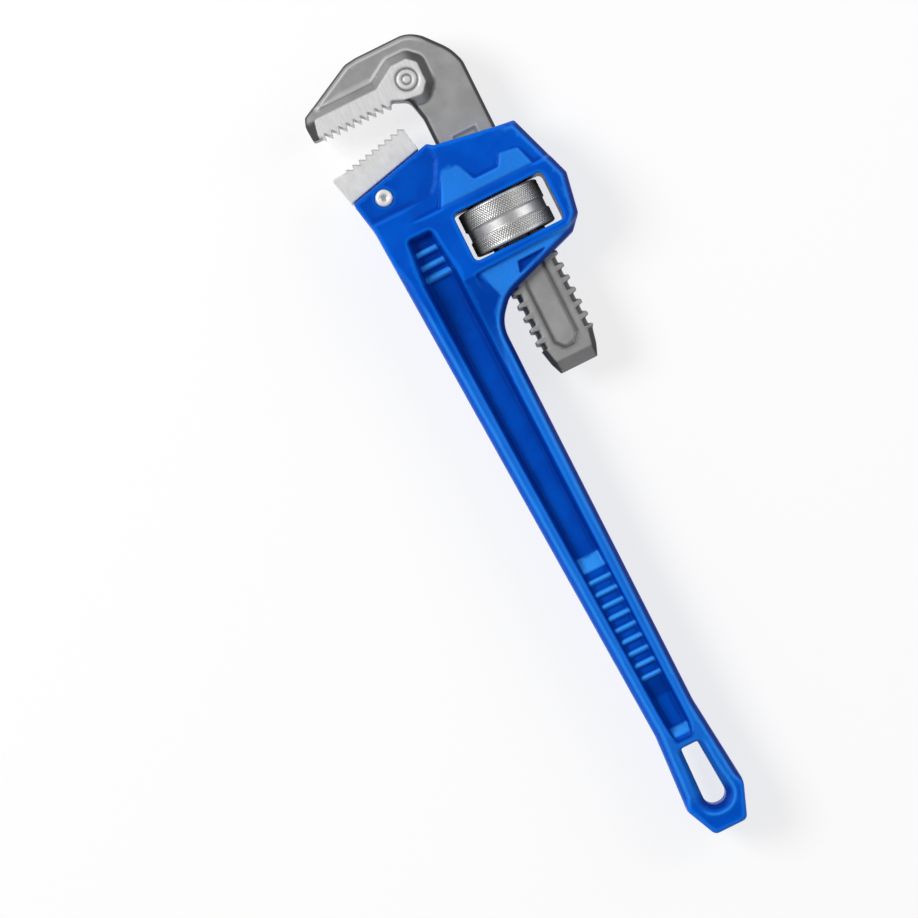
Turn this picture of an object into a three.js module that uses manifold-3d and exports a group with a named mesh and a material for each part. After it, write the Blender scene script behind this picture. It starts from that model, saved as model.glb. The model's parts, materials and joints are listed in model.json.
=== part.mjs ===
// A straight pipe wrench of the 350 mm class, in millimetres, +Z up.
// It lies flat: the shank of the hook jaw runs along Y, the mouth opens towards -X, and the handle runs to -Y.
// The pieces are laid out round the centre of the nut's window, and the whole group is moved at the end so that
// the origin is under the middle of the wrench, on the surface that it lies on.
import * as THREE from 'three';
import { mergeVertices } from 'three/addons/utils/BufferGeometryUtils.js';
import Module from 'manifold-3d';

const wasm = await Module();
wasm.setup();

// Fits and facets
const FIT_GAP = 0.3;
const ARC_STEPS = 4;
const TURN_STEPS = 30;
const HOLE_STEPS = 12;
const MERGE_DISTANCE = 1e-4;
const FAR = 400;

// Half thicknesses of the casting at its levels
const CHEEK_HALF = 12.5;
const BLOCK_HALF = 14.5;
const RIM_HALF = 9;
const WEB_HALF = 3.5;
const CASTING_BEVEL = 1.2;
const HOUSING_BOTTOM = -46;
const BLOCK_SLOPE = { top: -10, end: -50, right: -14 };
const BUTTRESS_SLOPE = { foot: 14, top: 15, end: 30, endHalf: 12 };
const POCKET_DEPTH = 2;
const SLOT_FLARE = 2;

// Shank and thread
const SHANK_HALF_WIDTH = 12.2;
const SHANK_HALF_THICK = 6.2;
const SHANK_BEVEL = 1;
const SHANK_CLEARANCE = 0.4;
const PASSAGE_ABOVE = [-12.7, 14.6];
const PASSAGE_BELOW = [-14, 13.4];
const PASSAGE_END = -40;
const SPRING_RECESS = [10, 16.5];
const PANEL_DEPTH = 0.8;
const END_BEVEL = 2;
const END_SLOPE = { top: -60.3, bottom: -67, halfThick: 2.9 };
const END_NECK_HALF_WIDTH = 6.5;
const THREAD_PITCH = 5.4;
const THREAD_TOP = 20;
const THREAD_BOTTOM = -54;
const ROOT_RADIUS = 10.6;
const CREST_RADIUS = 13.4;
const RIDGE_BASE_WIDTH = 3.5;
const RIDGE_TIP_WIDTH = 1.4;
const THREAD_CLEARANCE = 0.35;

// Jaws
const JAW_HALF_THICK = 9;
const DIMPLE = { x: -11.4, y: 67.2, radius: 4.6, depth: 0.8 };
const TOOTH_COUNT = 9;
const HOOK_TIP_Y = 59.9;
const HOOK_ROOT_Y = 62.3;
const HOOK_TOOTH_PITCH = 3.2;
const HOOK_TEETH_START = -50.6;
const HEEL_TIP_START = [-49.2, 45.4];
const HEEL_TIP_STEP = [3.15, 0.675];
const HEEL_TOOTH_DEPTH = 1.7;
const TOOTH_FLAT = 0.5;
const TOOTH_BACK = 2.6;
const TOOTH_RELIEF = 0.15;
const TIP_SINK = 0.05;

// Nut and its window
const NUT_RADIUS = 17.4;
const NUT_BOTTOM = -9.05;
const NUT_TOP = 9.45;
const NUT_BAND_RADIUS = 16.7;
const NUT_BAND = [-2.2, 1.8];
const NUT_CHAMFER = 1.3;
const NUT_MOUTH_RADIUS = 13;
const WINDOW = { left: -19, right: 20.4, bottom: -10.4, top: 10.4, corner: 2 };

// Heel jaw's slot and pin
const TONGUE_HALF_THICK = 5;
const TONGUE_BOTTOM = 21.5;
const TONGUE_RIGHT = -31;
const PIN = { x: -40.5, y: 28.6, radius: 3.5, halfLength: 13.1 };

// Springs
const FLAT_SPRING = { thickness: 1.2, halfWidth: 4.5 };
const RIVET = { y: 15.6, radius: 1.5, headRadius: 2.6, inner: 14, outer: 24.9 };
const COIL = { y: -19, radius: 3.4, wire: 0.6, from: -23.2, to: -13.2, turns: 4.5 };
const COIL_POCKET = { radius: 5, from: -24.8, to: -9.8 };

// Ribs of the grip, and the three short ribs above them for the thumb, given as [y, half thickness]
const RIB = { halfWidth: 0.85, footHalfWidth: 1.35, rounding: 0.5, pitch: 5.4, count: 9, first: -145.5, top: 7 };
const THUMB_RIBS = [[2.3, 9.4], [-3.3, 8.2], [-8.4, 7.2]];

// ---------------------------------------------------------------- shapes and solids

// A closed shape through [x, y, radius] corners, each rounded by its radius.
function roundedShape(corners) {
  const points = [];
  const count = corners.length;
  corners.forEach(([x, y, radius = 0], i) => {
    const corner = new THREE.Vector2(x, y);
    if (radius === 0) {
      points.push(corner);
      return;
    }
    const [beforeX, beforeY] = corners[(i + count - 1) % count];
    const [afterX, afterY] = corners[(i + 1) % count];
    const back = new THREE.Vector2(beforeX - x, beforeY - y).normalize();
    const ahead = new THREE.Vector2(afterX - x, afterY - y).normalize();
    const half = Math.acos(back.dot(ahead)) / 2;
    const reach = radius / Math.tan(half);
    const centre = back.clone().add(ahead).normalize().multiplyScalar(radius / Math.sin(half)).add(corner);
    const start = back.clone().multiplyScalar(reach).add(corner).sub(centre).angle();
    const end = ahead.clone().multiplyScalar(reach).add(corner).sub(centre).angle();
    const clockwise = back.cross(ahead) > 0;
    points.push(...new THREE.ArcCurve(centre.x, centre.y, radius, start, end, clockwise).getPoints(ARC_STEPS));
  });
  return new THREE.Shape(points);
}

function circle(x, y, radius) {
  return new THREE.Shape().absarc(x, y, radius, 0, 2 * Math.PI);
}

// A three.js geometry as a solid that can be joined and cut.
function solid(geometry) {
  geometry.deleteAttribute('normal');
  geometry.deleteAttribute('uv');
  const merged = mergeVertices(geometry, MERGE_DISTANCE);
  const index = merged.index.array;
  const triangles = [];
  for (let t = 0; t < index.length; t += 3) {
    const [a, b, c] = [index[t], index[t + 1], index[t + 2]];
    if (a !== b && b !== c && c !== a) triangles.push(a, b, c);
  }
  return new wasm.Manifold(new wasm.Mesh({
    numProp: 3,
    vertProperties: new Float32Array(merged.attributes.position.array),
    triVerts: new Uint32Array(triangles),
  }));
}

function join(solids) {
  return solids.reduce((all, next) => all.add(next));
}

function cut(body, cutters) {
  return cutters.reduce((rest, cutter) => rest.subtract(cutter), body);
}

// A plate with the given outline between two heights, with an optional bevel on both faces' edges.
function plate(shape, low, high, bevel = 0, curveSegments = ARC_STEPS) {
  const geometry = new THREE.ExtrudeGeometry(shape, {
    depth: high - low - 2 * bevel,
    bevelEnabled: bevel > 0,
    bevelThickness: bevel,
    bevelSize: bevel,
    bevelOffset: -bevel,
    bevelSegments: 1,
    curveSegments,
  });
  geometry.translate(0, 0, low + bevel);
  return solid(geometry);
}

// A cutter between two heights that is as wide as its outline at both ends and wider by its flare in between, so
// that it leaves a sloping mouth when its upper end is above the surface.
function flared(shape, low, high, flare) {
  const geometry = new THREE.ExtrudeGeometry(shape, {
    depth: high - low - 2 * flare,
    bevelThickness: flare,
    bevelSize: flare,
    bevelSegments: 1,
    curveSegments: ARC_STEPS,
  });
  geometry.translate(0, 0, low + flare);
  return solid(geometry);
}

// A prism along X whose outline is given as [y, z] corners.
function prismAlongX(corners, low, high) {
  const geometry = new THREE.ExtrudeGeometry(roundedShape(corners), {
    depth: high - low,
    bevelEnabled: false,
    curveSegments: ARC_STEPS,
  });
  geometry.translate(0, 0, low);
  geometry.applyMatrix4(new THREE.Matrix4().set(0, 0, 1, 0, 1, 0, 0, 0, 0, 1, 0, 0, 0, 0, 0, 1));
  return solid(geometry);
}

function box(xs, ys, zs) {
  const geometry = new THREE.BoxGeometry(xs[1] - xs[0], ys[1] - ys[0], zs[1] - zs[0]);
  geometry.translate((xs[0] + xs[1]) / 2, (ys[0] + ys[1]) / 2, (zs[0] + zs[1]) / 2);
  return solid(geometry);
}

// A body turned from [radius, height] points that start and end on the axis. Its axis is Y.
function turned(profile, steps = TURN_STEPS) {
  const points = profile.map(([radius, height]) => new THREE.Vector2(radius, height));
  return new THREE.LatheGeometry(points, steps);
}

// The same cut or block on the front and the back face of the casting.
function onBothFaces(make) {
  return [make(1), make(-1)];
}

// Swaps a [low, high] pair to the other face when side is -1.
function facing(side, low, high) {
  return side > 0 ? [low, high] : [-high, -low];
}

function mesh(name, body, material) {
  const { numProp, vertProperties, triVerts } = body.getMesh();
  const position = new Float32Array((vertProperties.length / numProp) * 3);
  for (let i = 0; i < position.length / 3; i += 1) {
    for (let k = 0; k < 3; k += 1) position[3 * i + k] = vertProperties[numProp * i + k];
  }
  const geometry = new THREE.BufferGeometry();
  geometry.setAttribute('position', new THREE.BufferAttribute(position, 3));
  geometry.setIndex(new THREE.BufferAttribute(new Uint32Array(triVerts), 1));
  geometry.computeVertexNormals();
  const result = new THREE.Mesh(geometry, material);
  result.name = name;
  return result;
}

// ---------------------------------------------------------------- thread

// One right-hand helical ridge round the Y axis, from top to bottom, between two radii.
// It starts and ends at the front of the shank, where the flat faces of the bar cut it away.
function threadRidge(rootRadius, tipRadius, baseWidth, tipWidth, top, bottom) {
  const profile = new THREE.Shape([
    new THREE.Vector2(rootRadius, -baseWidth / 2),
    new THREE.Vector2(tipRadius, -tipWidth / 2),
    new THREE.Vector2(tipRadius, tipWidth / 2),
    new THREE.Vector2(rootRadius, baseWidth / 2),
  ]);
  const turns = Math.floor((top - bottom) / THREAD_PITCH);
  const geometry = new THREE.ExtrudeGeometry(profile, {
    depth: turns * 2 * Math.PI,
    steps: turns * TURN_STEPS,
    bevelEnabled: false,
  });
  const position = geometry.attributes.position;
  for (let i = 0; i < position.count; i += 1) {
    const radius = position.getX(i);
    const angle = position.getZ(i) + Math.PI / 2;
    const drop = (THREAD_PITCH * position.getZ(i)) / (2 * Math.PI);
    position.setXYZ(i, radius * Math.cos(angle), position.getY(i) + top - drop, radius * Math.sin(angle));
  }
  return solid(geometry);
}

// ---------------------------------------------------------------- handle

// Outline of the whole casting: housing, fillet to the handle, handle and hanging end.
const castingOutline = [
  [-52.8, 32, 1.3], [-15.8, 40.8, 1.3], [-13.4, 39], [11.4, 34.8, 2], [19.9, 33.9, 1.5], [29.5, 5.8, 2],
  [26.4, -11, 2.5], [21.3, -16.6, 2.5], [-12.6, -28.2, 15], [-20.3, -37, 15], [-20.2, -60, 20], [-18.8, -205, 20],
  [-15, -243, 8], [-20.5, -257.4, 3], [-35, -257.4, 3], [-40.9, -244.5, 5], [-39, -212, 30], [-50, 18, 20],
];

// The recess in each face of the handle, from the window's height down to the hanging end.
const channelOutline = [
  [-40.2, 9.3, 2], [-29.2, 9.3, 2], [-27.2, -10, 15], [-24, -212, 3], [-25, -218, 2],
  [-33, -218, 2], [-34, -205, 8], [-39.5, -80, 60], [-42, -10, 15],
];

// Thick block round the window, which runs on to the left edge and down into the handle.
const blockOutline = [
  [-50, 15], [24.2, 14.8, 1.5], [27.3, 5.8, 2], [24.6, -10.4, 2], [20.4, -14.2, 2],
  [-21.4, -14.8], [-21.2, HOUSING_BOTTOM], [-46.5, HOUSING_BOTTOM],
];

// Buttresses that slope from the window block down to the cheeks.
const buttressOutline = [
  [-20.8, 14.2], [-20.5, 17.5, 1], [-15.5, 28.3, 1], [-8.4, 27.3, 1], [-5, 19.4, 1.5],
  [5.6, 19.4, 1.5], [8.5, 24.3, 1], [16, 23, 1], [18.7, 14.2],
];

// Heights of the channel's floor along the handle, as [y, half thickness].
const CHANNEL_ENDS = [12, -218.5];
const channelFloor = [
  [CHANNEL_ENDS[0], 8.5], [6, 8.5], [-14, 4.5], [-134.7, WEB_HALF], [-141, 5.6],
  [-190, 5.6], [-198, WEB_HALF], [-211.5, WEB_HALF], [-215.6, 8], [CHANNEL_ENDS[1], 8.4],
];

const windowOutline = [
  [WINDOW.left, WINDOW.bottom, WINDOW.corner], [WINDOW.right, WINDOW.bottom, WINDOW.corner],
  [WINDOW.right, WINDOW.top, WINDOW.corner], [WINDOW.left, WINDOW.top, WINDOW.corner],
];

// Hole that the wrench hangs by.
const slotOutline = [[-32, -220.4, 0.8], [-24.7, -220.4, 0.8], [-23, -246.6, 4.2], [-32.8, -246.6, 4.4]];

// Shallow recess below the window, on each face.
const lowerPocketOutline = [[-4.4, -17.6, 1], [8.2, -17.4, 0.5], [3.2, -20.2, 1], [-5.3, -22.4, 1]];

// Slot between the cheeks for the heel jaw's tongue, open towards the mouth and upwards.
const heelSlotOutline = [
  [-FAR, TONGUE_BOTTOM - FIT_GAP], [TONGUE_RIGHT + FIT_GAP, TONGUE_BOTTOM - FIT_GAP, 2],
  [TONGUE_RIGHT + FIT_GAP, FAR], [-FAR, FAR],
];

function handleChannel(side) {
  const [low, high] = facing(side, 0, FAR);
  const pocket = plate(roundedShape(channelOutline), low, high);
  const floor = channelFloor.map(([y, half]) => [y, side * half]);
  const above = prismAlongX([...floor, [CHANNEL_ENDS[1], side * FAR], [CHANNEL_ENDS[0], side * FAR]], -FAR, 0);
  return pocket.intersect(above);
}

function gripRib(y, xs, foot, top, side) {
  const profile = [
    [y - RIB.footHalfWidth, side * foot],
    [y + RIB.footHalfWidth, side * foot],
    [y + RIB.halfWidth, side * top, RIB.rounding],
    [y - RIB.halfWidth, side * top, RIB.rounding],
  ];
  return prismAlongX(profile, xs[0], xs[1]);
}

function gripRibs(side) {
  const ribs = [];
  for (let i = 0; i < RIB.count; i += 1) {
    const y = RIB.first - i * RIB.pitch;
    ribs.push(gripRib(y, [-35.9 + 0.3 * i, -25.6 + 0.08 * i], WEB_HALF + 1, RIB.top, side));
  }
  THUMB_RIBS.forEach(([y, top]) => ribs.push(gripRib(y, [-39.6, -30], WEB_HALF - 0.5, top, side)));
  return ribs;
}

function buttresses(side) {
  const [low, high] = facing(side, 0, FAR);
  const slope = prismAlongX(
    [
      [BUTTRESS_SLOPE.foot, 0], [BUTTRESS_SLOPE.foot, side * BLOCK_HALF], [BUTTRESS_SLOPE.top, side * BLOCK_HALF],
      [BUTTRESS_SLOPE.end, side * BUTTRESS_SLOPE.endHalf], [BUTTRESS_SLOPE.end, 0],
    ],
    -FAR, FAR,
  );
  return plate(roundedShape(buttressOutline), low, high).intersect(slope);
}

// A round hole along X, from one x to another.
function boreAlongX(radius, from, to, y, steps) {
  const geometry = new THREE.CylinderGeometry(radius, radius, to - from, steps);
  return solid(geometry.rotateZ(Math.PI / 2).translate((from + to) / 2, y, 0));
}

function handleSolid() {
  const housing = plate(roundedShape(castingOutline), -CHEEK_HALF, CHEEK_HALF, CASTING_BEVEL)
    .intersect(box([-FAR, FAR], [HOUSING_BOTTOM, FAR], [-FAR, FAR]));
  const block = plate(roundedShape(blockOutline), -BLOCK_HALF, BLOCK_HALF, CASTING_BEVEL);
  const bar = plate(roundedShape(castingOutline), -RIM_HALF, RIM_HALF, CASTING_BEVEL);
  const slopes = onBothFaces((side) => prismAlongX([
    [BLOCK_SLOPE.top, side * BLOCK_HALF], [HOUSING_BOTTOM, side * RIM_HALF], [BLOCK_SLOPE.end, side * RIM_HALF],
    [BLOCK_SLOPE.end, side * FAR], [BLOCK_SLOPE.top, side * FAR],
  ], -FAR, BLOCK_SLOPE.right));
  const thick = cut(join([housing, block, ...onBothFaces(buttresses)]), slopes);
  const recessed = cut(thick.add(bar), onBothFaces(handleChannel));
  const ribbed = join([recessed, ...onBothFaces(gripRibs).flat()]);

  const slot = roundedShape(slotOutline);
  const pocket = roundedShape(lowerPocketOutline);
  const passage = SHANK_HALF_THICK + SHANK_CLEARANCE;
  const tongueRoom = TONGUE_HALF_THICK + FIT_GAP;
  const springRoom = FLAT_SPRING.halfWidth + FIT_GAP;
  return cut(ribbed, [
    plate(roundedShape(windowOutline), -FAR, FAR),
    plate(slot, -FAR, FAR),
    ...onBothFaces((side) => flared(slot, ...facing(side, RIM_HALF - SLOT_FLARE, FAR), SLOT_FLARE)),
    ...onBothFaces((side) => plate(pocket, ...facing(side, CHEEK_HALF - POCKET_DEPTH, FAR))),
    plate(roundedShape(heelSlotOutline), -tongueRoom, tongueRoom),
    plate(circle(PIN.x, PIN.y, PIN.radius + FIT_GAP), -FAR, FAR, 0, HOLE_STEPS),
    box(PASSAGE_ABOVE, [WINDOW.top - 1, FAR], [-passage, passage]),
    box(PASSAGE_BELOW, [PASSAGE_END, WINDOW.bottom + 1], [-passage, passage]),
    box(SPRING_RECESS, [WINDOW.top - 1, FAR], [-springRoom, springRoom]),
    boreAlongX(RIVET.radius + FIT_GAP, RIVET.inner, FAR, RIVET.y, 16),
    boreAlongX(COIL_POCKET.radius, COIL_POCKET.from, COIL_POCKET.to, COIL.y, 24),
  ]);
}

// ---------------------------------------------------------------- hook jaw

// Hook and plain part of the shank, down to just below the top of the thread.
const hookOutline = [
  [-SHANK_HALF_WIDTH, THREAD_TOP - 1.1], [-12.2, 50, 10], [-14.2, 59.2, 4], [-20.8, 62.2], [-21.7, HOOK_TIP_Y],
  [-50.6, HOOK_TIP_Y], [-51.5, 61.1], [-55.6, 61.3, 1.4], [-56, 68, 5], [-54.6, 71.5, 1.6],
  [-31, 83.6, 6], [-26, 84.2, 4], [-3.5, 84.2, 12], [1.8, 80.6, 12], [9.8, 71, 20], [12.2, 64.5, 11],
  [SHANK_HALF_WIDTH, THREAD_TOP - 1.1],
];

// Ground pad that stands proud of the forging, along the teeth and up round the root of the hook.
const padOutline = [
  [-55, 61.3], [-51.5, 61.1], [-50.6, HOOK_TIP_Y], [-21.7, HOOK_TIP_Y], [-20.8, 62.2, 1], [-17, 60.2, 1.5],
  [-7, 58.2, 3], [-2.8, 62.6, 2], [-2.6, 71.8, 2], [-7.7, 76.4, 1.5], [-14.2, 76.4, 1.5], [-22, 70.5, 2],
  [-51, 70.5, 1.5],
];

// Space between saw teeth, through [x, y] corners. Its outer edge lies further out in Y than the first and last.
function toothGaps(corners, outward) {
  const shape = new THREE.Shape();
  const first = corners[0];
  const last = corners[corners.length - 1];
  shape.moveTo(first[0], first[1] + outward);
  corners.forEach(([x, y]) => shape.lineTo(x, y));
  shape.lineTo(last[0], last[1] + outward);
  shape.closePath();
  return plate(shape, -FAR, FAR);
}

function hookTeeth() {
  const corners = [];
  const tipY = HOOK_TIP_Y - TIP_SINK;
  for (let i = 0; i < TOOTH_COUNT; i += 1) {
    const x = HOOK_TEETH_START + i * HOOK_TOOTH_PITCH;
    corners.push([x + TOOTH_RELIEF, HOOK_ROOT_Y], [x + TOOTH_FLAT, HOOK_ROOT_Y]);
    corners.push([x + TOOTH_BACK, tipY], [x + HOOK_TOOTH_PITCH - TOOTH_RELIEF, tipY]);
  }
  return toothGaps(corners, -4);
}

const shankEndOutline = [
  [-11.3, THREAD_BOTTOM], [-9.9, -60.4], [-8, -65.3], [8, -65.3], [9.9, -60.4], [11.3, THREAD_BOTTOM],
];

// Long shallow panel in each face of the shank.
const panelOutline = [
  [-5.3, 38.9, 0.5], [-5.3, -53, 1], [-2, -56.8, 1], [2, -56.8, 1], [5.3, -53, 1], [5.3, 38.9, 0.5],
];

// The thread is cut on the shank's two narrow edges, so the ridges end in line with them.
function shankSolid() {
  const core = solid(new THREE.CylinderGeometry(ROOT_RADIUS, ROOT_RADIUS, THREAD_TOP - THREAD_BOTTOM, TURN_STEPS)
    .translate(0, (THREAD_TOP + THREAD_BOTTOM) / 2, 0));
  const ridge = threadRidge(
    ROOT_RADIUS - 1, CREST_RADIUS, RIDGE_BASE_WIDTH, RIDGE_TIP_WIDTH, THREAD_TOP + 1, THREAD_BOTTOM,
  );
  const bar = box(
    [-SHANK_HALF_WIDTH, SHANK_HALF_WIDTH], [THREAD_BOTTOM - THREAD_PITCH, THREAD_TOP],
    [-SHANK_HALF_THICK, SHANK_HALF_THICK],
  );
  const end = plate(roundedShape(shankEndOutline), -SHANK_HALF_THICK, SHANK_HALF_THICK, END_BEVEL);
  const neck = box(
    [-END_NECK_HALF_WIDTH, END_NECK_HALF_WIDTH], [THREAD_BOTTOM - 3, THREAD_BOTTOM + 1],
    [-SHANK_HALF_THICK, SHANK_HALF_THICK],
  );
  const endSlopes = onBothFaces((side) => prismAlongX([
    [END_SLOPE.top, side * SHANK_HALF_THICK], [END_SLOPE.bottom, side * END_SLOPE.halfThick],
    [END_SLOPE.bottom, side * FAR], [END_SLOPE.top, side * FAR],
  ], -FAR, FAR));
  return cut(join([core.add(ridge).intersect(bar), end, neck]), endSlopes);
}

function hookSolid() {
  const forging = plate(roundedShape(hookOutline), -SHANK_HALF_THICK, SHANK_HALF_THICK, SHANK_BEVEL);
  const pad = plate(roundedShape(padOutline), -JAW_HALF_THICK, JAW_HALF_THICK);
  const panels = onBothFaces((side) => plate(
    roundedShape(panelOutline), ...facing(side, SHANK_HALF_THICK - PANEL_DEPTH, FAR),
  ));
  const dimples = onBothFaces((side) => plate(
    circle(DIMPLE.x, DIMPLE.y, DIMPLE.radius), ...facing(side, JAW_HALF_THICK - DIMPLE.depth, FAR), 0, 8,
  ));
  return cut(join([forging, pad, shankSolid()]), [hookTeeth(), ...panels, ...dimples]);
}

// ---------------------------------------------------------------- heel jaw and pin

const heelOutline = [
  [-55.9, 44.2, 0.4], [-53, 32.3 + FIT_GAP, 0.4], [-19.5, 40.3 + FIT_GAP, 0.4], [-20.9, 47, 1], [-21.3, 51.3],
  [-23.9, 50.85], [-49.2, 45.4], [-50.6, 44.5],
];

const tongueOutline = [
  [-53.2, 34], [-52.2, 31], [-50.6, 24], [-50.2, TONGUE_BOTTOM, 1], [TONGUE_RIGHT, TONGUE_BOTTOM, 2],
  [TONGUE_RIGHT, 39.5],
];

function heelTeeth() {
  const [startX, startY] = HEEL_TIP_START;
  const corners = [[startX - 1.2, startY - 0.9], [startX - 0.1, startY - 0.9]];
  for (let i = 0; i < TOOTH_COUNT; i += 1) {
    const x = startX + i * HEEL_TIP_STEP[0];
    const y = startY + i * HEEL_TIP_STEP[1];
    const nextX = x + HEEL_TIP_STEP[0];
    const rootY = y + HEEL_TIP_STEP[1] - HEEL_TOOTH_DEPTH;
    corners.push([x, y], [x + TOOTH_FLAT, y + TIP_SINK], [nextX - TOOTH_FLAT, rootY], [nextX - TOOTH_RELIEF, rootY]);
  }
  return toothGaps(corners, 6);
}

function heelSolid() {
  const head = plate(roundedShape(heelOutline), -JAW_HALF_THICK, JAW_HALF_THICK);
  const tongue = plate(roundedShape(tongueOutline), -TONGUE_HALF_THICK, TONGUE_HALF_THICK);
  const pinHole = plate(circle(PIN.x, PIN.y, PIN.radius + FIT_GAP), -FAR, FAR, 0, HOLE_STEPS);
  return cut(head.add(tongue), [heelTeeth(), pinHole]);
}

function pinSolid() {
  const { radius, halfLength } = PIN;
  const geometry = turned([
    [0, -halfLength], [radius * 0.6, -halfLength + 0.25], [radius * 0.9, -halfLength + 0.9],
    [radius, -halfLength + 1.8], [radius, halfLength - 1.8], [radius * 0.9, halfLength - 0.9],
    [radius * 0.6, halfLength - 0.25], [0, halfLength],
  ], 32);
  geometry.rotateX(Math.PI / 2).translate(PIN.x, PIN.y, 0);
  return solid(geometry);
}

// ---------------------------------------------------------------- nut

function nutSolid() {
  const face = NUT_RADIUS - NUT_CHAMFER;
  const bandSlope = 0.4;
  const blank = solid(turned([
    [0, NUT_BOTTOM], [face, NUT_BOTTOM], [NUT_RADIUS, NUT_BOTTOM + NUT_CHAMFER],
    [NUT_RADIUS, NUT_BAND[0] - bandSlope], [NUT_BAND_RADIUS, NUT_BAND[0]], [NUT_BAND_RADIUS, NUT_BAND[1]],
    [NUT_RADIUS, NUT_BAND[1] + bandSlope], [NUT_RADIUS, NUT_TOP - NUT_CHAMFER], [face, NUT_TOP], [0, NUT_TOP],
  ]));
  const bore = ROOT_RADIUS + THREAD_CLEARANCE;
  const mouthDepth = NUT_MOUTH_RADIUS - bore;
  const hole = solid(turned([
    [0, NUT_BOTTOM - 1], [NUT_MOUTH_RADIUS + 1, NUT_BOTTOM - 1], [bore, NUT_BOTTOM + mouthDepth],
    [bore, NUT_TOP - mouthDepth], [NUT_MOUTH_RADIUS + 1, NUT_TOP + 1], [0, NUT_TOP + 1],
  ]));
  // The groove follows the shank's ridge, moved up by whole turns so that it runs past both ends of the nut.
  const turnsDown = Math.floor((THREAD_TOP + 1 - (NUT_TOP + THREAD_PITCH)) / THREAD_PITCH);
  const grooveTop = THREAD_TOP + 1 - turnsDown * THREAD_PITCH;
  const groove = threadRidge(
    bore - 1.5, CREST_RADIUS + THREAD_CLEARANCE, RIDGE_BASE_WIDTH + 1.2, RIDGE_TIP_WIDTH + 2 * THREAD_CLEARANCE,
    grooveTop, NUT_BOTTOM - 2 * THREAD_PITCH,
  );
  return cut(blank, [hole, groove]);
}

// ---------------------------------------------------------------- springs and rivet

const springLine = [[15.6, 12.2], [15.6, 15.6], [15.4, 19.5], [14, 24], [13.45, 27.5], [13.8, 30.5], [14.6, 32.6]];

// A strip of even thickness along a smooth line through the given points.
function stripShape(points, thickness) {
  const line = new THREE.SplineCurve(points.map(([x, y]) => new THREE.Vector2(x, y)));
  const sides = [[], []];
  const steps = 16;
  for (let i = 0; i <= steps; i += 1) {
    const point = line.getPoint(i / steps);
    const tangent = line.getTangent(i / steps);
    const across = new THREE.Vector2(-tangent.y, tangent.x).multiplyScalar(thickness / 2);
    sides[0].push(point.clone().add(across));
    sides[1].unshift(point.clone().sub(across));
  }
  return new THREE.Shape([...sides[0], ...sides[1]]);
}

function flatSpringSolid() {
  const strip = plate(stripShape(springLine, FLAT_SPRING.thickness), -FLAT_SPRING.halfWidth, FLAT_SPRING.halfWidth);
  return strip.subtract(boreAlongX(RIVET.radius + FIT_GAP, RIVET.inner, RIVET.outer, RIVET.y, 16));
}

class CoilPath extends THREE.Curve {
  getPoint(t, target = new THREE.Vector3()) {
    const angle = t * COIL.turns * 2 * Math.PI;
    return target.set(
      COIL.from + (COIL.to - COIL.from) * t,
      COIL.y + COIL.radius * Math.cos(angle),
      COIL.radius * Math.sin(angle),
    );
  }
}

function coilSpringSolid() {
  const section = new THREE.Shape();
  section.absarc(0, 0, COIL.wire, 0, 2 * Math.PI);
  return solid(new THREE.ExtrudeGeometry(section, {
    steps: Math.round(COIL.turns * 16),
    curveSegments: 3,
    bevelEnabled: false,
    extrudePath: new CoilPath(),
  }));
}

function rivetSolid() {
  const geometry = turned([
    [0, RIVET.inner], [RIVET.headRadius * 0.7, RIVET.inner], [RIVET.headRadius, RIVET.inner + 0.4],
    [RIVET.headRadius, RIVET.inner + 0.7], [RIVET.radius, RIVET.inner + 0.7], [RIVET.radius, RIVET.outer],
    [0, RIVET.outer],
  ], 16);
  geometry.rotateZ(-Math.PI / 2).translate(0, RIVET.y, 0);
  return solid(geometry);
}

// ---------------------------------------------------------------- materials and assembly

const bluePaint = new THREE.MeshStandardMaterial({ color: 0x0050c3, roughness: 0.4, metalness: 0.1 });
const forgedSteel = new THREE.MeshStandardMaterial({ color: 0x9b9b9b, roughness: 0.5, metalness: 0.8 });
const groundSteel = new THREE.MeshStandardMaterial({ color: 0xdcdcdc, roughness: 0.3, metalness: 0.9 });
const nutSteel = new THREE.MeshStandardMaterial({ color: 0xb4b4b4, roughness: 0.35, metalness: 0.9 });
const springSteel = new THREE.MeshStandardMaterial({ color: 0x5a5c60, roughness: 0.4, metalness: 0.9 });

const wrench = new THREE.Group();
wrench.add(
  mesh('handle', handleSolid(), bluePaint),
  mesh('hook_jaw', hookSolid(), forgedSteel),
  mesh('heel_jaw', heelSolid(), groundSteel),
  mesh('heel_jaw_pin', pinSolid(), groundSteel),
  mesh('adjusting_nut', nutSolid(), nutSteel),
  mesh('flat_spring', flatSpringSolid(), springSteel),
  mesh('coil_spring', coilSpringSolid(), springSteel),
  mesh('spring_rivet', rivetSolid(), springSteel),
);

// Stand the wrench on its lowest point, centred over the origin.
const bounds = new THREE.Box3().setFromObject(wrench);
const centre = bounds.getCenter(new THREE.Vector3());
wrench.position.set(-centre.x, -centre.y, -bounds.min.z);

export default wrench;
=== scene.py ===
import json
import math
from functools import reduce
from itertools import product

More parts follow.
